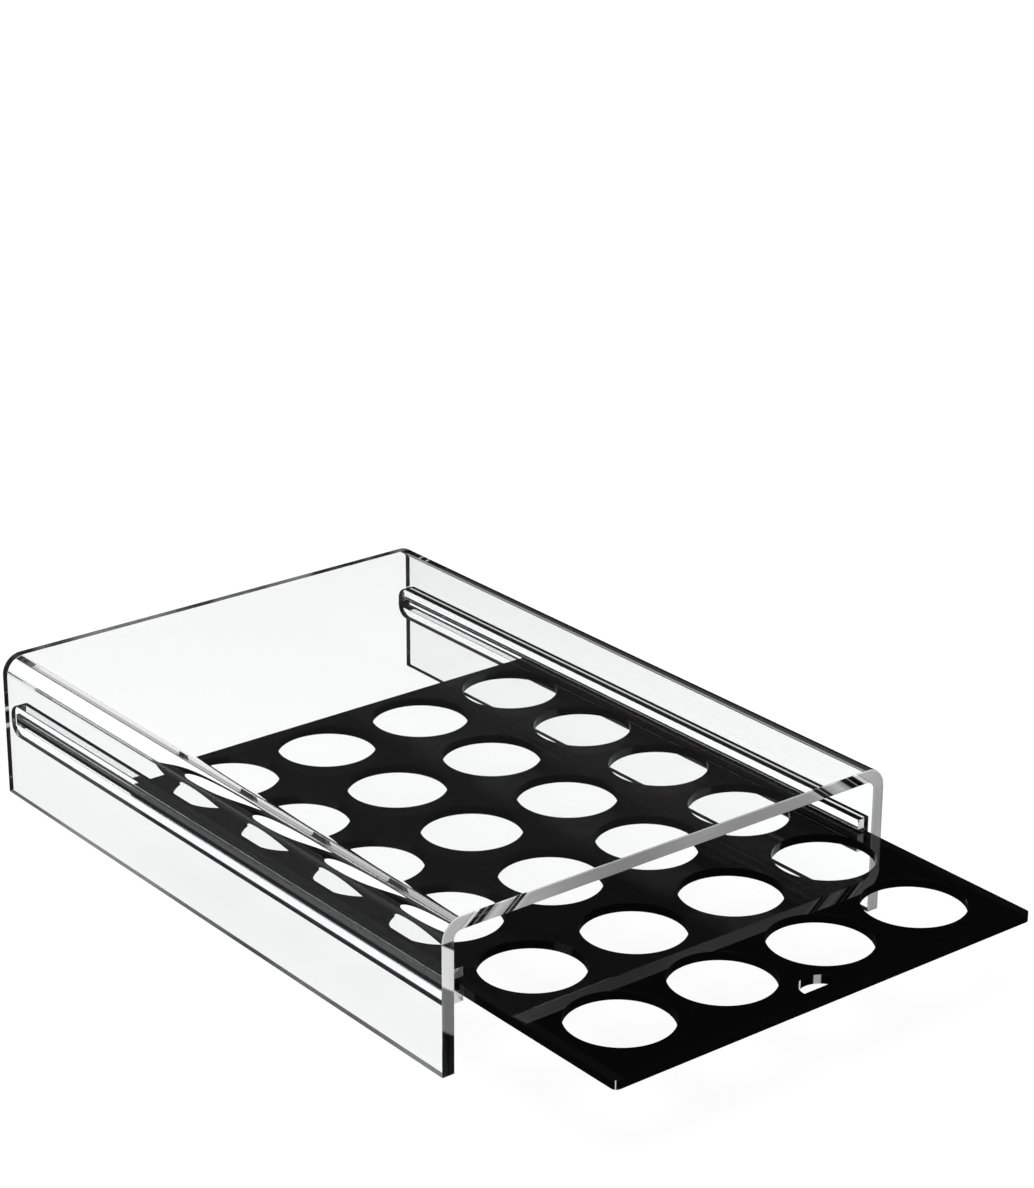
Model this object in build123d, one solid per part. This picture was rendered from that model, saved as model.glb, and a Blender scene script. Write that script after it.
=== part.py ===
"""Coffee capsule holder: a clear acrylic stand with a black tray that slides out under it as a drawer.

The stand is one clear sheet bent down at both sides. A brewer stands on its top. A clear grooved bar is
bonded inside each side wall, and the tray's side edges slide in the two grooves, whose closed rear ends
stop it. Capsules hang by their bodies in the tray's round holes, with their lids above the tray.

Frame: millimetres, +Z up, +X to the right, the front faces -Y. The origin is on the counter, in the middle
of the whole holder with its tray pulled out by tray_pulled_out, as it stands in use.
"""

from math import floor
import os

from build123d import *

# Capsule: the standard single-serve cup that the tray is made for
capsule_rim_diameter = 51.0
capsule_gap_across = 1.0
capsule_gap_along = 2.0
capsule_gap_to_rail = 1.0

# Stand: one clear sheet, open at the front, at the back and below
stand_width = 235.0
stand_depth = 332.5
stand_height = 68.0
sheet_thickness = 6.0
bend_inner_radius = 3.5
sheet_edge_ease = 0.4

# Rails: one grooved bar on the inside of each side wall, with a rounded rear end
rail_thickness = 6.0
rail_bottom_height = 29.5
rail_lower_lip = 5.5
rail_upper_lip = 4.8
rail_web = 1.5
rail_end_inset = 2.0
rail_rear_radius = 6.0
rail_edge_ease = 0.3
groove_end_wall = 3.5

# Tray: a flat black sheet that lies on the grooves' floors
tray_thickness = 4.0
tray_play_above = 1.2
tray_play_aside = 0.5
tray_play_behind = 1.0
tray_corner_radius = 2.5
tray_edge_ease = 0.3
tray_pulled_out = 94.0

# Holes in the tray: rows of capsule holes and a half-round hole for a finger
capsule_hole_diameter = 44.0
first_row_setback = 35.0
rear_margin = 23.5
finger_hole_radius = 9.5
finger_hole_setback = 6.3

# Places worked out from the sizes above
stand_front = (tray_pulled_out - stand_depth) / 2
stand_rear = stand_front + stand_depth
wall_inner_x = stand_width / 2 - sheet_thickness
rail_inner_x = wall_inner_x - rail_thickness
rail_front = stand_front + rail_end_inset
rail_length = stand_depth - 2 * rail_end_inset
groove_bottom_x = wall_inner_x - rail_web
groove_length = rail_length - groove_end_wall
groove_floor = rail_bottom_height + rail_lower_lip
groove_ceiling = groove_floor + tray_thickness + tray_play_above
rail_top_height = groove_ceiling + rail_upper_lip
tray_front = stand_front - tray_pulled_out
tray_depth = rail_end_inset + groove_length - tray_play_behind
tray_half_width = groove_bottom_x - tray_play_aside
column_pitch = capsule_rim_diameter + capsule_gap_across
row_pitch = capsule_rim_diameter + capsule_gap_along


def plane_facing_front(y):
    """An upright plane at y whose sketch axes are +X and +Z, and whose normal is -Y."""
    return Plane(origin=(0, y, 0), x_dir=(1, 0, 0), z_dir=(0, -1, 0))


def arch(half_width, height, corner_radius):
    """A face that stands on the counter, with its two upper corners rounded."""
    corners = [(-half_width, 0), (-half_width, height), (half_width, height), (half_width, 0)]
    outline = FilletPolyline(*corners, radius=corner_radius)
    foot = Line(corners[-1], corners[0])
    return make_face(outline.edges() + foot.edges())


def make_shell():
    """The bent sheet: a top and two side walls, with the cut edges eased all round."""
    outer = arch(stand_width / 2, stand_height, bend_inner_radius + sheet_thickness)
    inner = arch(wall_inner_x, stand_height - sheet_thickness, bend_inner_radius)
    sheet = extrude(plane_facing_front(stand_rear) * (outer - inner), amount=stand_depth)
    front_edges = sheet.faces().sort_by(Axis.Y)[0].edges()
    rear_edges = sheet.faces().sort_by(Axis.Y)[-1].edges()
    return fillet(front_edges + rear_edges, sheet_edge_ease)


def make_rail(side):
    """A grooved bar on one wall: side is -1 for the left one and 1 for the right one.

    Its rear end is rounded, and the groove runs out at its front end only.
    """
    bar_height = rail_top_height - rail_bottom_height
    bar_centre = Pos(
        wall_inner_x - rail_thickness / 2, rail_front + rail_length / 2, rail_bottom_height + bar_height / 2
    )
    bar = bar_centre * Box(rail_thickness, rail_length, bar_height)
    rear_corners = bar.faces().sort_by(Axis.Y)[-1].edges().filter_by(Axis.X)
    bar = fillet(rear_corners, rail_rear_radius)
    groove_height = groove_ceiling - groove_floor
    groove_depth = rail_thickness - rail_web
    groove_centre = Pos(
        rail_inner_x + groove_depth / 2, rail_front + groove_length / 2, groove_floor + groove_height / 2
    )
    rail = bar - groove_centre * Box(groove_depth, groove_length, groove_height)
    front_edges = rail.faces().sort_by(Axis.Y)[0].edges()
    free_edges = [edge for edge in front_edges if edge.center().X < wall_inner_x - rail_edge_ease]
    rail = chamfer(free_edges, rail_edge_ease)
    return rail if side > 0 else mirror(rail, about=Plane.YZ)


def capsule_hole_places():
    """Centres of the capsule holes: as many columns and rows as the tray has room for."""
    room_across = 2 * (rail_inner_x - capsule_gap_to_rail) - capsule_rim_diameter
    room_along = tray_depth - first_row_setback - rear_margin
    columns = floor(room_across / column_pitch) + 1
    rows = floor(room_along / row_pitch) + 1
    left_column = -(columns - 1) * column_pitch / 2
    front_row = tray_front + first_row_setback
    return [
        (left_column + column * column_pitch, front_row + row * row_pitch)
        for row in range(rows)
        for column in range(columns)
    ]


def finger_hole():
    """A half disc with its straight side towards the front edge."""
    disc = Circle(finger_hole_radius)
    front_half = Pos(0, -finger_hole_radius) * Rectangle(4 * finger_hole_radius, 2 * finger_hole_radius)
    return Pos(0, tray_front + finger_hole_setback) * (disc - front_half)


def make_tray():
    """The drawer's sheet, lying on the grooves' floors, with rounded corners and eased edges."""
    outline = Pos(0, tray_front + tray_depth / 2) * RectangleRounded(
        2 * tray_half_width, tray_depth, tray_corner_radius
    )
    for x, y in capsule_hole_places():
        outline -= Pos(x, y) * Circle(capsule_hole_diameter / 2)
    outline -= finger_hole()
    sheet = extrude(Pos(0, 0, groove_floor) * outline, amount=tray_thickness)
    top_edges = sheet.faces().sort_by(Axis.Z)[-1].edges()
    bottom_edges = sheet.faces().sort_by(Axis.Z)[0].edges()
    return chamfer(top_edges + bottom_edges, tray_edge_ease)


pieces = {
    "shell": make_shell(),
    "rail_left": make_rail(-1),
    "rail_right": make_rail(1),
    "tray": make_tray(),
}

os.makedirs("parts", exist_ok=True)
for name, piece in pieces.items():
    export_step(piece, f"parts/{name}.step")
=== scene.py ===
"""Looks of the coffee capsule holder: a bent clear stand, its two grooved rails and a glossy black tray.

Metres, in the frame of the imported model: +Z up, +X to the right, the front faces -Y, and the counter is at
z = 0. The stand stays still and the tray slides out of it towards the front.
"""

import math

import bmesh
import bpy
from mathutils import Matrix, Vector


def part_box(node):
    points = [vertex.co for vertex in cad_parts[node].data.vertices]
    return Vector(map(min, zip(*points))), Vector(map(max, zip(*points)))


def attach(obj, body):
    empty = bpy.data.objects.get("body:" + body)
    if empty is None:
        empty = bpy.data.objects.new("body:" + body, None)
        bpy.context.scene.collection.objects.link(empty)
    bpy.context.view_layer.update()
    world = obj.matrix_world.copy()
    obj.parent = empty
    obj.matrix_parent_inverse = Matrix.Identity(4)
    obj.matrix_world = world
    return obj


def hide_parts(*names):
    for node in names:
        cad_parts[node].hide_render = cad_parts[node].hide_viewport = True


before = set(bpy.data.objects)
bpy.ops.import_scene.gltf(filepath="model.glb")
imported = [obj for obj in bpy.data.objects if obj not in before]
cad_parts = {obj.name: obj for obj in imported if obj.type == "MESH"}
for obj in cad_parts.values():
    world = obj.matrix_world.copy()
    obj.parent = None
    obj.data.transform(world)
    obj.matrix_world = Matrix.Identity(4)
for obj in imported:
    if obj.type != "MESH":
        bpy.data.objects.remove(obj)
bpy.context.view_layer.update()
shell_low, shell_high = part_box("shell")
tray_low, tray_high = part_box("tray")
rail_low, rail_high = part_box("rail_right")

# Sizes of the sheet work, in metres
sheet_thickness = 0.006
bend_inner_radius = 0.0035
polished_edge_ease = 0.0004
groove_depth = 0.0045
tray_play_above = 0.0012
rail_rear_radius = 0.006
groove_end_wall = 0.0035
rail_edge_ease = 0.0003
tray_corner_radius = 0.0025
tray_edge_ease = 0.0003
capsule_hole_radius = 0.022
capsule_columns = 4
capsule_rows = 6
column_pitch = 0.052
row_pitch = 0.053
first_row_setback = 0.035
finger_hole_radius = 0.0095
finger_hole_setback = 0.0063

# The cement melts the rail's back into the wall, and the tray rides a hair above the grooves' floors
bond_depth = 0.00003
running_gap = 0.00003

# How finely the round stretches are cut
bend_steps = 48
hole_steps = 96
finger_hole_steps = 33
corner_steps = 10
rail_end_steps = 12
ease_steps = 2
shell_ease_steps = 3

# An edge is eased where its faces turn by more than this
sharp_turn = math.radians(40)

# Points that lie nearer to each other than this are merged
merge_distance = 1e-6

# Numbers of the rail's finishes on its mesh, where that of the bar's sides is 0
end_finish, groove_finish, eased_finish, top_finish = range(1, 5)

# Acrylic
acrylic_ior = 1.49
top_tint = (0.985, 0.99, 0.99, 1.0)
# The walls' greyer tint is painted shade, which makes them read darker than the top
shaded_wall_tint = (0.87, 0.88, 0.88, 1.0)
bar_tint = (0.95, 0.96, 0.96, 1.0)
edge_tint = (0.9, 0.92, 0.92, 1.0)
black_tone = 0.0012
cut_black_tone = 0.0016
saw_pitch = 0.0011
groove_pitch = 0.0008

# Painted light and shade of the cut edges: dark bars along the top's and zones up the left wall's, both
# slanted across the sheet, then how wide the right rail's end is painted pale, and how deep a painted
# highlight lies in the tray's round corners
bars_start = 0.08
bars_length = 0.03
bar_slant = 1.27
zone_slant = 0.7
painted_pale_end_width = 0.0033
corner_highlight_depth = 0.000023

# Camera: where it looks from, as angles about the point that it looks at
view_azimuth = math.radians(-38.475)
view_elevation = math.radians(21.644)
view_roll = math.radians(0.268)
view_distance = 1.620
view_target = Vector((0.1599, 0.1847, 0.0400))
lens_length = 97.7
sensor_side = 36.0

# Studio floor
floor_drop = 0.0002
floor_radius = 14.0
floor_steps = 96
floor_colour = (0.9, 0.9, 0.9, 1.0)
floor_glow = 0.8

# Lamp: a round panel overhead
lamp_place = Vector((-0.5, -0.5, 2.0))
lamp_aim = Vector((0.0, 0.0, 0.03))
lamp_size = 1.2
lamp_power = 11.0

# How bright the backdrop is where it is seen straight, and what makes up for the part of the light that is
# kept back by each surface of a sheet that it is seen through
backdrop_white = 1.1
surface_makeup = 1.118

# How bright it is where it is mirrored, and for light that a sheet has led along inside itself, which is let
# out after this many mirrorings
mirrored_floor = 0.02
mirrored_sky_inside = 0.05
led_glow = 0.45
most_mirrored = 4

# A ramp's places can't lie below 0, so a ramp that starts left of the middle reads x with this added
ramp_shift = 0.1


class Value:
    """A node's output that can be reckoned with: an expression on values adds its Math nodes."""

    def __init__(self, graph, socket):
        self.graph = graph
        self.socket = socket

    def output(self, name):
        return Value(self.graph, self.socket.node.outputs[name])

    def math(self, operation, *operands):
        return self.graph.node("ShaderNodeMath", {"operation": operation}, dict(enumerate(operands)))

    def __add__(self, other):
        return self.math("ADD", self, other)

    def __radd__(self, other):
        return self.math("ADD", other, self)

    def __sub__(self, other):
        return self.math("SUBTRACT", self, other)

    def __rsub__(self, other):
        return self.math("SUBTRACT", other, self)

    def __mul__(self, other):
        return self.math("MULTIPLY", self, other)

    def __rmul__(self, other):
        return self.math("MULTIPLY", other, self)

    def __truediv__(self, other):
        return self.math("DIVIDE", self, other)

    def __rpow__(self, base):
        return self.math("POWER", base, self)

    def __neg__(self):
        return self.math("MULTIPLY", self, -1.0)

    def __abs__(self):
        return self.math("ABSOLUTE", self)

    def over(self, limit):
        return self.math("GREATER_THAN", self, limit)

    def under(self, limit):
        return self.math("LESS_THAN", self, limit)

    def larger(self, other):
        return self.math("MAXIMUM", self, other)

    def root(self):
        return self.math("SQRT", self)

    def sine(self):
        return self.math("SINE", self)


class Graph:
    """A node tree, and the one way that its nodes are made."""

    def __init__(self, tree):
        self.tree = tree
        tree.nodes.clear()

    def node(self, kind, settings=None, sockets=None, gives=0):
        """Adds a node: its settings first, then its sockets' values or links. Returns one of its outputs."""
        made = self.tree.nodes.new(kind)
        for name, setting in (settings or {}).items():
            if name == "stops":
                self.set_stops(made.color_ramp, setting)
            else:
                setattr(made, name, setting)
        for name, value in (sockets or {}).items():
            for one in value if isinstance(value, list) else [value]:
                if isinstance(one, Value):
                    self.tree.links.new(one.socket, made.inputs[name])
                else:
                    made.inputs[name].default_value = one
        return Value(self, made.outputs[gives]) if made.outputs else None

    @staticmethod
    def set_stops(ramp, stops):
        while len(ramp.elements) < len(stops):
            ramp.elements.new(1.0)
        for element, (place, grey) in zip(ramp.elements, stops):
            element.position = place
            element.color = (grey, grey, grey, 1.0)

    def place(self, x=0.0, y=0.0, z=0.0):
        return self.node("ShaderNodeCombineXYZ", {}, {0: x, 1: y, 2: z})

    def parts(self, vector):
        """A vector's X, Y and Z as three values."""
        split = self.node("ShaderNodeSeparateXYZ", {}, {0: vector})
        return split, split.output("Y"), split.output("Z")

    def ramp(self, value, *stops):
        """A grey that follows a value, through stops of a place from 0 to 1 and a tone each."""
        return self.node("ShaderNodeValToRGB", {"stops": stops}, {0: value})

    def grey(self, tone, bluer=0.0):
        """A tone as a colour, with a little more blue in it where that is asked for."""
        blue = tone + bluer if bluer else tone
        return self.node("ShaderNodeCombineColor", {}, {0: tone, 1: tone, 2: blue})

    def noise(self, vector, scale=1.0, detail=2.0):
        return self.node("ShaderNodeTexNoise", {}, {"Vector": vector, "Scale": scale, "Detail": detail})

    def bump(self, height, distance, strength=1.0):
        return self.node("ShaderNodeBump", {}, {"Strength": strength, "Distance": distance, "Height": height})

    def stretched(self, vector, scale):
        return self.node("ShaderNodeMapping", {}, {"Vector": vector, "Scale": scale})

    def mixed(self, share, first, second):
        return self.node("ShaderNodeMixShader", {}, {0: share, 1: first, 2: second})


class Recipe(Graph):
    """A Geometry Nodes tree with named inputs for its sizes, whose last node hands on a finished mesh."""

    def __init__(self, name, sizes, materials):
        tree = bpy.data.node_groups.new(name, "GeometryNodeTree")
        super().__init__(tree)
        tree.interface.new_socket("Mesh", in_out="INPUT", socket_type="NodeSocketGeometry")
        for kind, given in (("Float", sizes), ("Material", materials)):
            for label, value in given.items():
                whole = isinstance(value, int)
                tree.interface.new_socket(
                    label, in_out="INPUT", socket_type="NodeSocket" + ("Int" if whole else kind)
                )
        tree.interface.new_socket("Mesh", in_out="OUTPUT", socket_type="NodeSocketGeometry")
        self.given = {**sizes, **materials}
        start = self.node("NodeGroupInput")
        self.size = {label: start.output(label) for label in self.given}

    def moved(self, geometry, **by):
        return self.node("GeometryNodeTransform", {}, {"Geometry": geometry, "Translation": self.place(**by)})

    def joined(self, *parts):
        return self.node("GeometryNodeJoinGeometry", {}, {"Geometry": list(reversed(parts))})

    def finish(self, mesh, sheet, edge, on_edge):
        """Ends the tree: one solid, with a material for its faces and another for its cut edges."""
        solid = self.node("GeometryNodeRealizeInstances", {}, {"Geometry": mesh})
        solid = self.node("GeometryNodeMergeByDistance", {}, {"Geometry": solid, "Distance": merge_distance})
        solid = self.node("GeometryNodeSetMaterial", {}, {"Geometry": solid, "Material": sheet})
        solid = self.node(
            "GeometryNodeSetMaterial", {}, {"Geometry": solid, "Selection": on_edge, "Material": edge}
        )
        self.node("NodeGroupOutput", {}, {"Mesh": solid})

    def make(self, name):
        """Runs the tree on an empty mesh and keeps what it makes as a plain object."""
        host = bpy.data.objects.new(name + "_recipe", bpy.data.meshes.new(name + "_recipe"))
        bpy.context.scene.collection.objects.link(host)
        modifier = host.modifiers.new("recipe", "NODES")
        modifier.node_group = self.tree
        for item in self.tree.interface.items_tree:
            if item.in_out == "INPUT" and item.name in self.given:
                modifier[item.identifier] = self.given[item.name]
        seen = host.evaluated_get(bpy.context.evaluated_depsgraph_get())
        mesh = bpy.data.meshes.new_from_object(seen)
        host.modifiers.remove(modifier)
        bpy.data.objects.remove(host)
        return new_object(name, mesh)


def new_object(name, mesh):
    mesh.name = name
    made = bpy.data.objects.new(name, mesh)
    bpy.context.scene.collection.objects.link(made)
    return made


def face_outwards(piece):
    """Merges doubles and turns every face of a closed piece outwards."""
    solid = bmesh.new()
    solid.from_mesh(piece.data)
    bmesh.ops.remove_doubles(solid, verts=solid.verts, dist=merge_distance)
    bmesh.ops.recalc_face_normals(solid, faces=solid.faces)
    solid.to_mesh(piece.data)
    solid.free()


def ease_edges(piece, ease, steps=ease_steps, finish=-1):
    """Rounds a piece's cut edges and shades its round stretches smoothly, with its flats kept flat.

    The rounded edges take on the finish of the faces beside them, or the one whose number is given.
    """
    for face in piece.data.polygons:
        face.use_smooth = True
    bevel = piece.modifiers.new("eased edges", "BEVEL")
    bevel.width = ease
    bevel.segments = steps
    bevel.material = finish
    bevel.limit_method = "ANGLE"
    bevel.angle_limit = sharp_turn
    bevel.miter_outer = "MITER_ARC"
    shading = piece.modifiers.new("flat faces", "WEIGHTED_NORMAL")
    shading.keep_sharp = True
    shading.weight = 100
    mesh = bpy.data.meshes.new_from_object(piece.evaluated_get(bpy.context.evaluated_depsgraph_get()))
    piece.modifiers.clear()
    piece.data = mesh


def new_material(name):
    """A material's node graph, with the place on the piece that its patterns follow."""
    material = bpy.data.materials.new(name)
    material.use_nodes = True
    graph = Graph(material.node_tree)
    return material, graph, graph.node("ShaderNodeTexCoord", gives="Object")


def end_material(graph, shader):
    graph.node("ShaderNodeOutputMaterial", {}, {"Surface": shader})


def end_clear(graph, shader, passed):
    """Ends a clear finish.

    Lamps and stray light go straight through it, a little dimmed. So does light that the sheet has led along
    inside itself, mirrored to and fro, for as long as the renderer follows it: it would end black otherwise.
    """
    path = graph.node("ShaderNodeLightPath")
    stray = path.output("Is Shadow Ray").larger(path.output("Is Diffuse Ray"))
    led_along = path.output("Glossy Depth").over(most_mirrored - 0.5)
    straight = graph.node("ShaderNodeBsdfTransparent", {}, {"Color": (passed, passed, passed, 1.0)})
    end_material(graph, graph.mixed(stray.larger(led_along), shader, straight))


def clear_acrylic(graph, colour, roughness, normal):
    return graph.node("ShaderNodeBsdfPrincipled", {}, {
        "Base Color": colour,
        "Roughness": roughness,
        "IOR": acrylic_ior,
        "Transmission Weight": 1.0,
        "Normal": normal,
    })


def painted_light_finish(graph, tone, roughness, normal=None):
    """A dull finish of one tone: light or shade painted on a cut face, in place of light from inside the
    acrylic.
    """
    sockets = {"Base Color": graph.grey(tone), "Roughness": roughness, "Specular IOR Level": 0.1}
    if normal is not None:
        sockets["Normal"] = normal
    return graph.node("ShaderNodeBsdfPrincipled", {}, sockets)


def cutter_marks(graph, spot, pitch, waver):
    """Height of the marks that a saw or cutter leaves across a bar, a pitch apart along its length."""
    along = graph.parts(spot)[1]
    drift = graph.noise(spot, scale=40.0)
    return (along * (math.tau / pitch) + drift * waver).sine()


def clear_sheet():
    """Cast sheet: clear on top, a little greyer in the walls by painted shade, with faint wipe marks where it
    is handled.
    """
    material, graph, spot = new_material("clear_sheet")
    # Painted shade: faces that stand upright take the walls' greyer tint
    level = abs(graph.parts(graph.node("ShaderNodeTexCoord", gives="Normal"))[2])
    tint = graph.node("ShaderNodeMix", {"data_type": "RGBA"}, {0: level, 6: shaded_wall_tint, 7: top_tint}, gives=2)
    wipes = graph.noise(graph.stretched(spot, (18.0, 7.0, 18.0)), detail=4.0)
    haze = graph.ramp(wipes, (0.45, 0.0), (0.75, 0.02))
    flow = graph.bump(graph.noise(spot, scale=14.0, detail=1.0), 0.0005, strength=0.02)
    end_clear(graph, clear_acrylic(graph, tint, haze, flow), passed=0.97)
    return material


def sawn_bar():
    """The rail's outer faces: clear, with the fine marks of the saw across them."""
    material, graph, spot = new_material("sawn_bar")
    marks = cutter_marks(graph, spot, saw_pitch, 4.0)
    haze = graph.ramp(graph.noise(spot, scale=220.0, detail=3.0), (0.4, 0.02), (0.7, 0.09))
    sawn = graph.bump(marks, 0.00002, strength=0.35)
    end_clear(graph, clear_acrylic(graph, bar_tint, haze, sawn), passed=0.95)
    return material


def milled_groove():
    """The groove's faces: painted grey light, a painted black line of shade lower down, clear along the
    floor, and cutter marks.
    """
    material, graph, spot = new_material("milled_groove")
    marks = cutter_marks(graph, spot, groove_pitch, 7.0)
    haze = graph.ramp(graph.noise(spot, scale=300.0, detail=3.0), (0.35, 0.05), (0.7, 0.18))
    milled = graph.bump(marks, 0.00001, strength=0.3)
    rise = (graph.parts(spot)[2] - tray_low.z) / (tray_high.z + tray_play_above - tray_low.z)
    # Painted light and shade: a black line low in the groove, grey above it
    tone = graph.ramp(rise, (0.55, 0.002), (0.62, 0.13))
    share = graph.ramp(rise, (0.22, 0.0), (0.27, 1.0), (0.96, 1.0), (0.98, 0.0))
    clear = clear_acrylic(graph, bar_tint, haze, milled)
    painted_shading = painted_light_finish(graph, tone, roughness=0.4, normal=milled)
    end_clear(graph, graph.mixed(share, clear, painted_shading), passed=0.9)
    return material


def end_shaded(graph, spot, tone, painted_mask, stretch, gaps=0.0):
    """Ends a finish of clear acrylic with a tone of painted light or shade wherever it is masked, but for a
    few clear gaps.

    The gaps are patches of noise, stretched along x, y and z. They are wider the more gaps is over 0.
    """
    patches = graph.noise(graph.stretched(spot, stretch))
    share = graph.ramp(patches, (0.28 + gaps, 0.1), (0.33 + gaps, 1.0)) * painted_mask
    clear = clear_acrylic(graph, edge_tint, roughness=0.04, normal=graph.bump(patches, 0.00002))
    painted_light_and_shade = painted_light_finish(graph, tone, roughness=0.2)
    end_clear(graph, graph.mixed(share, clear, painted_light_and_shade), passed=0.8)


def rail_end():
    """The rail's ends: their cut faces are painted near black, a painted reflection of the dark inside of the
    bar, with a few clear gaps.

    The front ends are painted pale below the tray. Above it the left one is painted grey, and the right one
    painted pale on its inner side.
    """
    material, graph, spot = new_material("rail_end")
    x, y, z = graph.parts(spot)
    front = y.under(0.0)
    # Painted light on the front ends: grey on the left above the tray, pale on the right's inner side and
    # below the tray
    painted_grey_left = z.over(tray_high.z) * x.under(0.0) * 0.12
    painted_pale_right = z.over(tray_high.z) * x.over(0.0) * x.under(rail_low.x + painted_pale_end_width)
    painted_marks = front * (painted_grey_left + painted_pale_right + z.under(tray_low.z))
    # Painted reflection: a near-black tone over all of the ends
    tone = graph.ramp(graph.noise(spot, scale=150.0), (0.4, 0.004), (0.65, 0.05)) + painted_marks
    end_shaded(graph, spot, tone, painted_mask=1.0, stretch=(200.0, 90.0, 260.0), gaps=0.05)
    return material


def rail_top():
    """The rail's top, with a painted black line of shade along its inner edge.

    On the right rail a painted pale stripe of light and a painted black one follow it, out to the wall.
    """
    material, graph, spot = new_material("rail_top")
    x = graph.parts(spot)[0]
    outwards = (abs(x) - rail_low.x) / (rail_high.x - rail_low.x)
    # Painted light and shade across the top
    tone = graph.ramp(outwards, (0.42, 0.002), (0.46, 0.8), (0.62, 0.8), (0.66, 0.002))
    painted_inner_line = graph.ramp(outwards, (0.36, 1.0), (0.4, 0.0))
    end_shaded(graph, spot, tone, painted_inner_line.larger(x.over(0.0)), stretch=(30.0, 14.0, 30.0))
    return material


def rail_arris():
    """The rail's eased edges: thin lines of painted shade along the clear bar, black at its top and grey at
    its underside.

    Those of the front ends are painted pale below the tray, and on the right one's inner side almost up to
    its top.
    """
    material, graph, spot = new_material("rail_arris")
    x, y, z = graph.parts(spot)
    rise = (z - rail_low.z) / (rail_high.z - rail_low.z)
    at_front = y.under(rail_low.y + 2 * rail_edge_ease)
    # Painted light on the front ends' edges, painted shade along the bar
    painted_pale_right = x.over(0.0) * x.under(rail_low.x + painted_pale_end_width) * rise.under(0.9)
    tone = graph.ramp(rise, (0.4, 0.12), (0.6, 0.002)) + at_front * z.under(tray_low.z).larger(painted_pale_right)
    painted_along_bar = graph.ramp(rise, (0.1, 1.0), (0.12, 0.0), (0.9, 0.0), (0.92, 1.0))
    end_shaded(graph, spot, tone, painted_along_bar.larger(at_front), stretch=(30.0, 14.0, 30.0))
    return material


def across_sheet(graph, spot):
    """How far a point lies out from the bent sheet's inner face, round its bends too."""
    x, y, z = graph.parts(spot)
    reach = bend_inner_radius + sheet_thickness
    sideways = (abs(x) - (shell_high.x - reach)).larger(0.0)
    upwards = (z - (shell_high.z - reach)).larger(0.0)
    return (sideways * sideways + upwards * upwards).root() - bend_inner_radius


def top_edge_tone(graph, x, across):
    """The top's front edge in painted light and shade: soft grey, with thin light margins and slanted dark
    bars towards the bends.
    """
    soft = graph.ramp(graph.noise(graph.place(x * 11.0, 0.7), detail=1.0), (0.35, 0.4), (0.65, 0.7))
    margins = graph.ramp(across / sheet_thickness, (0.03, 1.5), (0.08, 1.0), (0.9, 1.0), (0.95, 1.4))
    slanted = (abs(x) + across * bar_slant - bars_start) / bars_length
    bars = graph.ramp(
        slanted,
        (0.0, 0.75), (0.1, 1.0), (0.12, 0.01), (0.19, 0.02), (0.21, 0.6), (0.23, 0.01), (0.27, 0.02),
        (0.3, 0.7), (0.5, 1.0), (0.62, 0.5), (0.65, 0.005), (0.74, 0.005), (0.76, 0.5), (0.78, 0.005),
        (0.87, 0.005), (0.9, 1.3), (0.96, 1.2), (0.97, 0.5), (1.0, 0.9),
    )
    return soft * margins * bars


def wall_edge_tone(graph, x, z, across):
    """The walls' front edges in painted light and shade: the left one in black, grey and pale zones, the
    right one grey.
    """
    rise = (z - across * zone_slant) / shell_high.z
    left = graph.ramp(
        rise,
        (0.24, 0.002), (0.255, 0.21), (0.525, 0.21), (0.54, 1.0),
        (0.787, 0.95), (0.8, 0.02), (0.85, 0.03), (0.865, 0.6),
    )
    right = graph.ramp(across / sheet_thickness, (0.04, 0.95), (0.1, 0.5), (0.85, 0.48), (0.95, 0.25))
    on_left = x.under(0.0)
    return right + on_left * (left - right)


def rear_edge_tone(graph, x, z):
    """The rear edges in painted light and shade: black with short pale gaps up the walls, dark grey and black
    along the top.
    """
    walls = graph.ramp(graph.noise(graph.place(z * 170.0, 2.2), detail=1.0), (0.6, 0.003), (0.66, 0.8))
    top = graph.ramp(graph.noise(graph.place(x * 24.0, 0.7)), (0.42, 0.015), (0.5, 0.2), (0.65, 0.3))
    on_top = z.over(shell_high.z - sheet_thickness)
    return walls + on_top * (top - walls)


def foot_tone(graph, x, y):
    """The walls' feet on the counter in painted shade: black under the right wall, long grey lengths under
    the left one.
    """
    left = graph.ramp(graph.noise(graph.place(y * 9.0, 1.3), detail=1.0), (0.4, 0.35), (0.6, 0.09))
    return left * x.under(0.0)


def polished_edge():
    """The sheet's cut edge, in painted light and shade: bars and zones of even tone stand in for light that
    the sheet leads along and lets out there.
    """
    material, graph, spot = new_material("polished_edge")
    x, y, z = graph.parts(spot)
    across = across_sheet(graph, spot)
    on_top = z.over(shell_high.z - sheet_thickness - bend_inner_radius)
    wall = wall_edge_tone(graph, x, z, across)
    front = wall + on_top * (top_edge_tone(graph, x, across) - wall)
    at_rear = y.over((shell_low.y + shell_high.y) / 2)
    ends = front + at_rear * (rear_edge_tone(graph, x, z) - front)
    feet = foot_tone(graph, x, y)
    tone = feet + z.over(polished_edge_ease) * (ends - feet)
    layers = graph.noise(graph.place(across * 900.0, (x + y + z) * 9.0), detail=1.0)
    clear = clear_acrylic(graph, edge_tint, roughness=0.02, normal=graph.bump(layers, 0.00002))
    # Painted light and shade over most of the edge, clear between
    painted_shading = painted_light_finish(graph, tone, roughness=0.3)
    share = graph.ramp(layers, (0.3, 0.9), (0.6, 1.0))
    end_clear(graph, graph.mixed(share, clear, painted_shading), passed=0.8)
    return material


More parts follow.
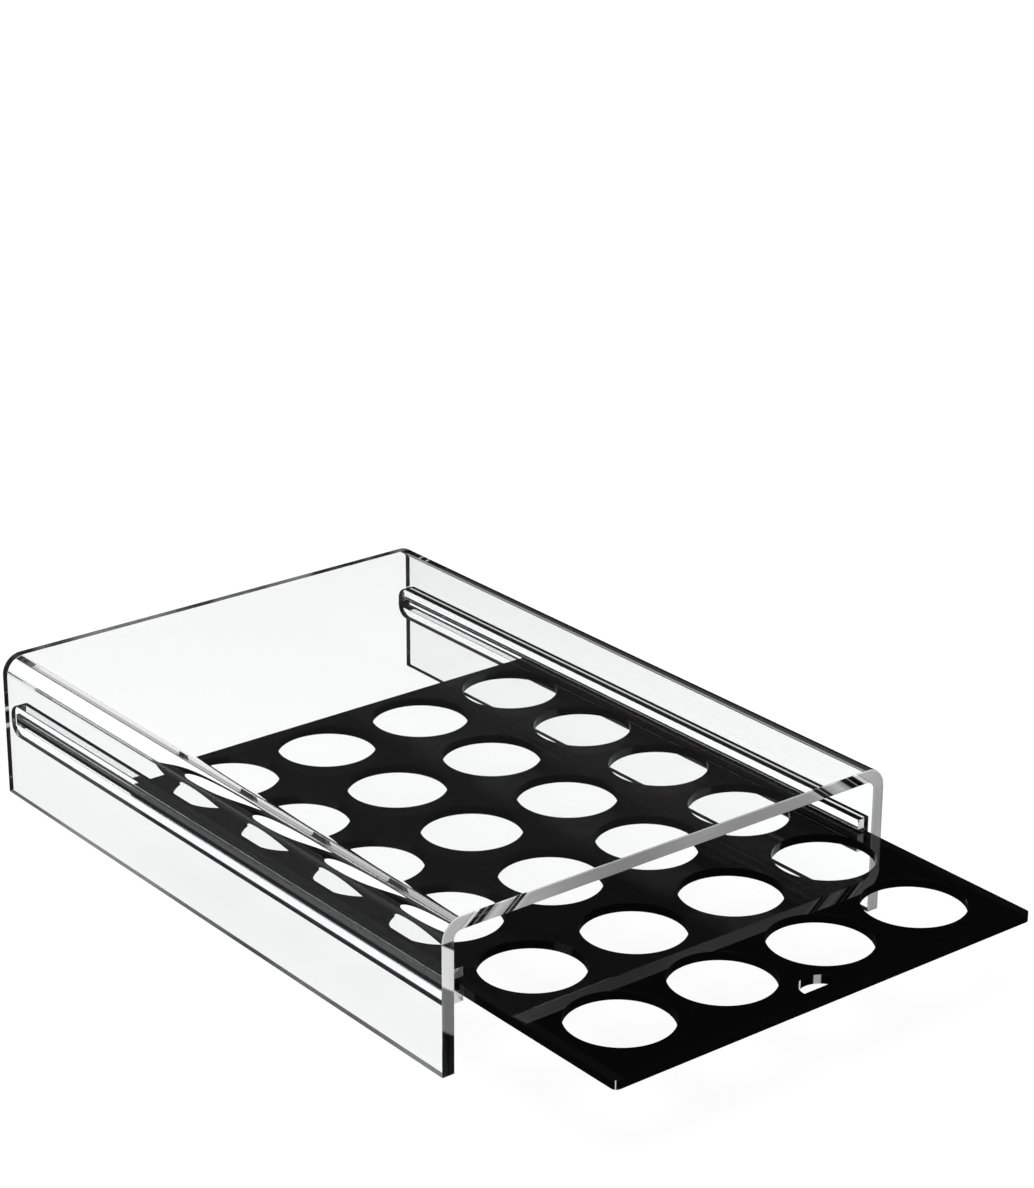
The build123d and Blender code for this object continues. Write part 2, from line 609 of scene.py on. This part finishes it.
def gloss_black():
    """Black cast acrylic with a mirror finish: fine dust, smudges, and its sides rubbed by the grooves."""
    material, graph, spot = new_material("gloss_black")
    x, y, z = graph.parts(spot)
    rub = graph.ramp(abs(x) / tray_high.x, (0.958, 0.0), (0.965, 1.0))
    streaks = graph.noise(graph.place(x * 2500.0, y * 14.0, z * 900.0), detail=3.0)
    specks = graph.ramp(graph.noise(spot, scale=900.0, detail=1.0), (0.72, 0.0), (0.8, 1.0))
    dust = specks * 0.006 + rub * streaks * 0.004
    smudges = graph.ramp(graph.noise(spot, scale=26.0, detail=5.0), (0.45, 0.015), (0.75, 0.06))
    shader = graph.node("ShaderNodeBsdfPrincipled", {}, {
        "Base Color": graph.grey(dust + black_tone, bluer=0.0001),
        "Roughness": smudges + rub * streaks * 0.06,
        "IOR": acrylic_ior,
    })
    end_material(graph, shader)
    return material


def black_edge():
    """The black sheet's laser-cut edge, with the fine upright lines that the beam leaves.

    It has painted highlights: a line down each front corner, and two places on the round wall of the finger
    hole.
    """
    material, graph, spot = new_material("black_cut_edge")
    x, y, z = graph.parts(spot)
    lines = graph.noise(graph.place(x * 2600.0, y * 2600.0, z * 60.0))
    setback = y - tray_low.y
    finger_wall = setback.over(finger_hole_setback + tray_edge_ease) * setback.under(2 * finger_hole_radius)
    # Painted highlights on the finger hole's round wall
    painted_gleam = graph.ramp(
        x / (2 * finger_hole_radius) + 0.5,
        (0.26, 0.0), (0.27, 1.2), (0.325, 1.2), (0.335, 0.0),
        (0.68, 0.0), (0.7, 0.52), (0.81, 0.52), (0.83, 0.0),
    )
    # Painted highlight: a thin line down each front corner
    corner_middle = tray_high.x - (2 - math.sqrt(2)) * tray_corner_radius
    painted_corner_highlight = (abs(x) - setback).over(corner_middle - corner_highlight_depth) * 0.7
    tone = finger_wall * painted_gleam + painted_corner_highlight + cut_black_tone
    shader = graph.node("ShaderNodeBsdfPrincipled", {}, {
        "Base Color": graph.grey(tone),
        "Roughness": graph.ramp(lines, (0.3, 0.04), (0.7, 0.14)),
        "IOR": acrylic_ior,
        "Normal": graph.bump(lines, 0.00002, strength=0.3),
    })
    end_material(graph, shader)
    return material


def make_shell(sheet, edge):
    """The stand: a sheet whose section follows a bent centre line over both side walls."""
    recipe = Recipe("bent_sheet", {
        "Width": shell_high.x - shell_low.x,
        "Height": shell_high.z - shell_low.z,
        "Front": shell_low.y,
        "Depth": shell_high.y - shell_low.y,
        "Thickness": sheet_thickness,
        "Bend Radius": bend_inner_radius,
        "Bend Steps": bend_steps,
    }, {"Sheet": sheet, "Edge": edge})
    size = recipe.size
    half = size["Width"] / 2 - size["Thickness"] / 2
    top = size["Height"] - size["Thickness"] / 2
    corners = recipe.node("GeometryNodeCurvePrimitiveQuadrilateral", {"mode": "POINTS"}, {
        "Point 1": recipe.place(x=-half),
        "Point 2": recipe.place(x=-half, z=top),
        "Point 3": recipe.place(x=half, z=top),
        "Point 4": recipe.place(x=half),
    })
    centre_line = recipe.node("GeometryNodeSetSplineCyclic", {}, {"Geometry": corners, "Cyclic": False})
    bent = recipe.node("GeometryNodeFilletCurve", {"mode": "POLY"}, {
        "Curve": centre_line,
        "Count": size["Bend Steps"],
        "Radius": size["Bend Radius"] + size["Thickness"] / 2,
    })
    section = recipe.node("GeometryNodeCurvePrimitiveQuadrilateral", {"mode": "RECTANGLE"}, {
        "Width": size["Thickness"],
        "Height": size["Depth"],
    })
    swept = recipe.node("GeometryNodeCurveToMesh", {}, {
        "Curve": bent,
        "Profile Curve": section,
        "Fill Caps": True,
    })
    swept = recipe.moved(swept, y=size["Front"] + size["Depth"] / 2)
    facing_y, facing_z = recipe.parts(recipe.node("GeometryNodeInputNormal"))[1:]
    height = recipe.parts(recipe.node("GeometryNodeInputPosition"))[2]
    ends = abs(facing_y).over(0.5)
    feet = facing_z.under(-0.5) * height.under(size["Thickness"])
    recipe.finish(swept, size["Sheet"], size["Edge"], ends.larger(feet))
    shell = recipe.make("stand_shell")
    face_outwards(shell)
    ease_edges(shell, polished_edge_ease, steps=shell_ease_steps)
    return shell


def rail_outline(front, rear, foot, top):
    """The bar seen from the side, as (y, z): from its front foot, round its rear end, to its front top."""
    outline = [(front, foot)]
    for middle, start in ((foot + rail_rear_radius, -90), (top - rail_rear_radius, 0)):
        for step in range(rail_end_steps + 1):
            turn = math.radians(start + 90 * step / rail_end_steps)
            y = rear - rail_rear_radius * (1 - math.cos(turn))
            outline.append((y, middle + rail_rear_radius * math.sin(turn)))
    outline.append((front, top))
    return outline


def make_rail(name, low, high, groove_floor, groove_ceiling, finishes):
    """A bar whose back is bonded to its wall, with a groove that is closed at the rear.

    Its finishes are those of the bar's sides, of its ends, of the groove, of the eased edges and of the top.
    """
    side = math.copysign(1.0, low.x)
    face = min(abs(low.x), abs(high.x))
    outline = rail_outline(low.y, high.y, low.z, high.z)
    stop = high.y - groove_end_wall
    groove = [(low.y, groove_ceiling), (stop, groove_ceiling), (stop, groove_floor), (low.y, groove_floor)]
    bar = bmesh.new()
    back, front, mouth, bottom = [
        [bar.verts.new((side * x, y, z)) for y, z in line]
        for x, line in (
            (max(abs(low.x), abs(high.x)) + bond_depth, outline),
            (face, outline),
            (face, groove),
            (face + groove_depth, groove),
        )
    ]
    bar.faces.new(back)
    bar.faces.new(front + mouth)
    strips = [
        bar.faces.new((back[i], back[i + 1], front[i + 1], front[i])) for i in range(len(outline) - 1)
    ]
    end = bar.faces.new((back[-1], back[0], front[0], mouth[3], bottom[3], bottom[0], mouth[0], front[-1]))
    for face_of_end in [end] + strips[1:-1]:
        face_of_end.material_index = end_finish
    strips[-1].material_index = top_finish
    walls = [bar.faces.new((mouth[i], mouth[i + 1], bottom[i + 1], bottom[i])) for i in range(3)]
    for face_of_groove in walls + [bar.faces.new(bottom)]:
        face_of_groove.material_index = groove_finish
    bmesh.ops.recalc_face_normals(bar, faces=bar.faces)
    mesh = bpy.data.meshes.new(name)
    bar.to_mesh(mesh)
    bar.free()
    rail = new_object(name, mesh)
    for finish in finishes:
        rail.data.materials.append(finish)
    ease_edges(rail, rail_edge_ease, finish=eased_finish)
    return rail


def make_tray(sheet, edge):
    """The drawer: a black sheet with rows of round holes, and a half-round one for a finger at its front."""
    recipe = Recipe("perforated_sheet", {
        "Width": tray_high.x - tray_low.x,
        "Depth": tray_high.y - tray_low.y,
        "Front": tray_low.y,
        "Underside": tray_low.z + running_gap,
        "Thickness": tray_high.z - tray_low.z - running_gap,
        "Corner Radius": tray_corner_radius,
        "Hole Radius": capsule_hole_radius,
        "Column Pitch": column_pitch,
        "Row Pitch": row_pitch,
        "First Row": first_row_setback,
        "Finger Radius": finger_hole_radius,
        "Finger Setback": finger_hole_setback,
        "Columns": capsule_columns,
        "Rows": capsule_rows,
        "Hole Steps": hole_steps,
        "Corner Steps": corner_steps,
    }, {"Sheet": sheet, "Edge": edge})
    size = recipe.size
    rectangle = recipe.node("GeometryNodeCurvePrimitiveQuadrilateral", {"mode": "RECTANGLE"}, {
        "Width": size["Width"],
        "Height": size["Depth"],
    })
    rim = recipe.node("GeometryNodeFilletCurve", {"mode": "POLY"}, {
        "Curve": recipe.moved(rectangle, y=size["Front"] + size["Depth"] / 2),
        "Count": size["Corner Steps"],
        "Radius": size["Corner Radius"],
    })
    grid = recipe.node("GeometryNodeMeshGrid", {}, {
        "Size X": (size["Columns"] - 1) * size["Column Pitch"],
        "Size Y": (size["Rows"] - 1) * size["Row Pitch"],
        "Vertices X": size["Columns"],
        "Vertices Y": size["Rows"],
    })
    centres = recipe.moved(
        grid, y=size["Front"] + size["First Row"] + (size["Rows"] - 1) * size["Row Pitch"] / 2
    )
    circle = recipe.node("GeometryNodeCurvePrimitiveCircle", {"mode": "RADIUS"}, {
        "Resolution": size["Hole Steps"],
        "Radius": size["Hole Radius"],
    })
    holes = recipe.node("GeometryNodeInstanceOnPoints", {}, {"Points": centres, "Instance": circle})
    arc = recipe.node("GeometryNodeCurveArc", {"mode": "RADIUS"}, {
        "Resolution": finger_hole_steps,
        "Radius": size["Finger Radius"],
        "Start Angle": 0.0,
        "Sweep Angle": math.pi,
    })
    finger = recipe.node("GeometryNodeSetSplineCyclic", {}, {"Geometry": arc, "Cyclic": True})
    finger = recipe.moved(finger, y=size["Front"] + size["Finger Setback"])
    cuts = recipe.node("GeometryNodeRealizeInstances", {}, {"Geometry": recipe.joined(holes, finger)})
    outlines = recipe.joined(rim, cuts)
    flat = recipe.node("GeometryNodeFillCurve", {"mode": "TRIANGLES"}, {"Curve": outlines})
    under = recipe.moved(flat, z=size["Underside"])
    raised = recipe.node("GeometryNodeExtrudeMesh", {"mode": "FACES"}, {
        "Mesh": under,
        "Offset": recipe.place(z=1.0),
        "Offset Scale": size["Thickness"],
        "Individual": False,
    })
    solid = recipe.joined(raised, recipe.node("GeometryNodeFlipFaces", {}, {"Mesh": under}))
    facing_z = recipe.parts(recipe.node("GeometryNodeInputNormal"))[2]
    recipe.finish(solid, size["Sheet"], size["Edge"], abs(facing_z).under(0.5))
    tray = recipe.make("capsule_tray")
    face_outwards(tray)
    ease_edges(tray, tray_edge_ease)
    return tray


def seen_rays(graph):
    """What sort of ray arrives at the backdrop, as five values.

    The first three say whether it is seen straight or through clear sheet, whether it comes from inside a
    sheet, and whether it is mirrored. The other two are strengths: how bright a straight ray has to find the
    backdrop, so that it reads as white through the sheets, and the glow of light led along inside a sheet.
    """
    path = graph.node("ShaderNodeLightPath")
    through = path.output("Is Transmission Ray")
    unmirrored = path.output("Glossy Depth").under(0.5)
    straight = path.output("Is Camera Ray").larger(through * unmirrored)
    white = backdrop_white * (surface_makeup ** path.output("Transmission Depth"))
    led_along = path.output("Glossy Depth").over(most_mirrored - 0.5) * led_glow
    return straight, through, path.output("Is Glossy Ray"), white, led_along


def make_floor():
    """A plain pale floor that runs past the edges of every view."""
    disc = bmesh.new()
    bmesh.ops.create_circle(disc, cap_ends=True, segments=floor_steps, radius=floor_radius)
    mesh = bpy.data.meshes.new("floor")
    disc.to_mesh(mesh)
    disc.free()
    floor = new_object("floor", mesh)
    floor.location.z = -floor_drop
    material, graph, spot = new_material("pale_floor")
    straight, inside, glossy, white, led_along = seen_rays(graph)
    paper = graph.node("ShaderNodeBsdfDiffuse", {}, {"Color": floor_colour})
    x, y = graph.parts(spot)[:2]
    along_walls = abs(y - (shell_low.y + shell_high.y) / 2).under((shell_high.y - shell_low.y) / 2)
    under_foot = abs(x).over(shell_high.x - sheet_thickness) * abs(x).under(shell_high.x) * along_walls

    # Mirrored inside a sheet, the floor glows dark grey, with painted shade that is black under the stand's
    # right half and the walls' feet, and a paler glow beyond the right wall
    painted_floor_tone = graph.ramp(x, (0.02, 0.22), (0.06, 0.03), (0.118, 0.03), (0.122, 0.6), (0.2, 0.4))
    seen_inside = inside * (1.0 - under_foot) * painted_floor_tone

    # Light led along inside a sheet is white where it meets the floor's left half, but for a grey band, and
    # dark where it meets the right half
    led_out = led_along * graph.ramp(
        x + ramp_shift,
        (0.046, 2.2), (0.05, 1.0), (0.06, 1.0), (0.064, 2.2), (0.12, 2.2), (0.13, 0.25),
    )
    dim = graph.node("ShaderNodeEmission", {}, {
        "Strength": seen_inside.larger(led_out).larger(mirrored_floor),
    })
    glow = graph.node("ShaderNodeEmission", {}, {"Strength": white})
    end_material(graph, graph.mixed(
        straight,
        graph.mixed(glossy, paper, dim),
        graph.mixed(floor_glow, paper, glow),
    ))
    floor.data.materials.append(material)


def make_world():
    """Studio surroundings: a white backdrop for whatever looks past the object, and soft light from above."""
    world = bpy.data.worlds.new("studio")
    bpy.context.scene.world = world
    world.use_nodes = True
    graph = Graph(world.node_tree)
    rise = graph.parts(graph.node("ShaderNodeTexCoord", gives="Generated"))[2]
    straight, inside, glossy, white, led_along = seen_rays(graph)
    soft = graph.ramp(rise, (0.0, 0.65), (0.9, 0.85))
    mirrored = graph.ramp(rise, (0.53, 0.012), (0.85, 0.8))
    low_sky = graph.ramp(rise, (0.19, 0.4), (0.21, mirrored_sky_inside))
    seen = mirrored.larger(inside * low_sky).larger(led_along)
    light = graph.node("ShaderNodeMix", {"data_type": "FLOAT"}, {0: glossy, 2: soft, 3: seen})
    dome = graph.node("ShaderNodeBackground", {}, {"Color": (1.0, 1.0, 1.0, 1.0), "Strength": light})
    backdrop = graph.node("ShaderNodeBackground", {}, {"Color": (1.0, 1.0, 1.0, 1.0), "Strength": white})
    graph.node("ShaderNodeOutputWorld", {}, {"Surface": graph.mixed(straight, dome, backdrop)})


def make_lamp():
    lamp = bpy.data.lights.new("key_panel", "AREA")
    lamp.shape = "DISK"
    lamp.size = lamp_size
    lamp.energy = lamp_power
    holder = bpy.data.objects.new("key_panel", lamp)
    holder.location = lamp_place
    holder.rotation_euler = (lamp_aim - lamp_place).to_track_quat("-Z", "Y").to_euler()
    bpy.context.scene.collection.objects.link(holder)


def make_camera():
    """The photograph's viewing angle."""
    back = Vector((
        math.sin(view_azimuth) * math.cos(view_elevation),
        -math.cos(view_azimuth) * math.cos(view_elevation),
        math.sin(view_elevation),
    ))
    level = Vector((0.0, 0.0, 1.0)).cross(back).normalized()
    upright = back.cross(level)
    right = level * math.cos(view_roll) + upright * math.sin(view_roll)
    up = upright * math.cos(view_roll) - level * math.sin(view_roll)
    lens = bpy.data.cameras.new("camera")
    lens.lens = lens_length
    lens.sensor_width = sensor_side
    lens.clip_end = 2 * floor_radius
    camera = bpy.data.objects.new("camera", lens)
    camera.matrix_world = Matrix.Translation(view_target + back * view_distance) @ Matrix(
        (right, up, back)
    ).transposed().to_4x4()
    bpy.context.scene.collection.objects.link(camera)
    bpy.context.scene.camera = camera


bpy.context.scene.view_settings.view_transform = "Standard"
make_camera()
make_world()
make_floor()
make_lamp()

shell = make_shell(clear_sheet(), polished_edge())
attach(shell, "stand")
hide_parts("shell")

rail_finishes = [sawn_bar(), rail_end(), milled_groove(), rail_arris(), rail_top()]
for node in ("rail_left", "rail_right"):
    rail = make_rail(
        "grooved_" + node,
        *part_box(node),
        groove_floor=tray_low.z,
        groove_ceiling=tray_high.z + tray_play_above,
        finishes=rail_finishes,
    )
    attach(rail, "stand")
    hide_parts(node)

tray = make_tray(gloss_black(), black_edge())
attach(tray, "tray")
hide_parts("tray")
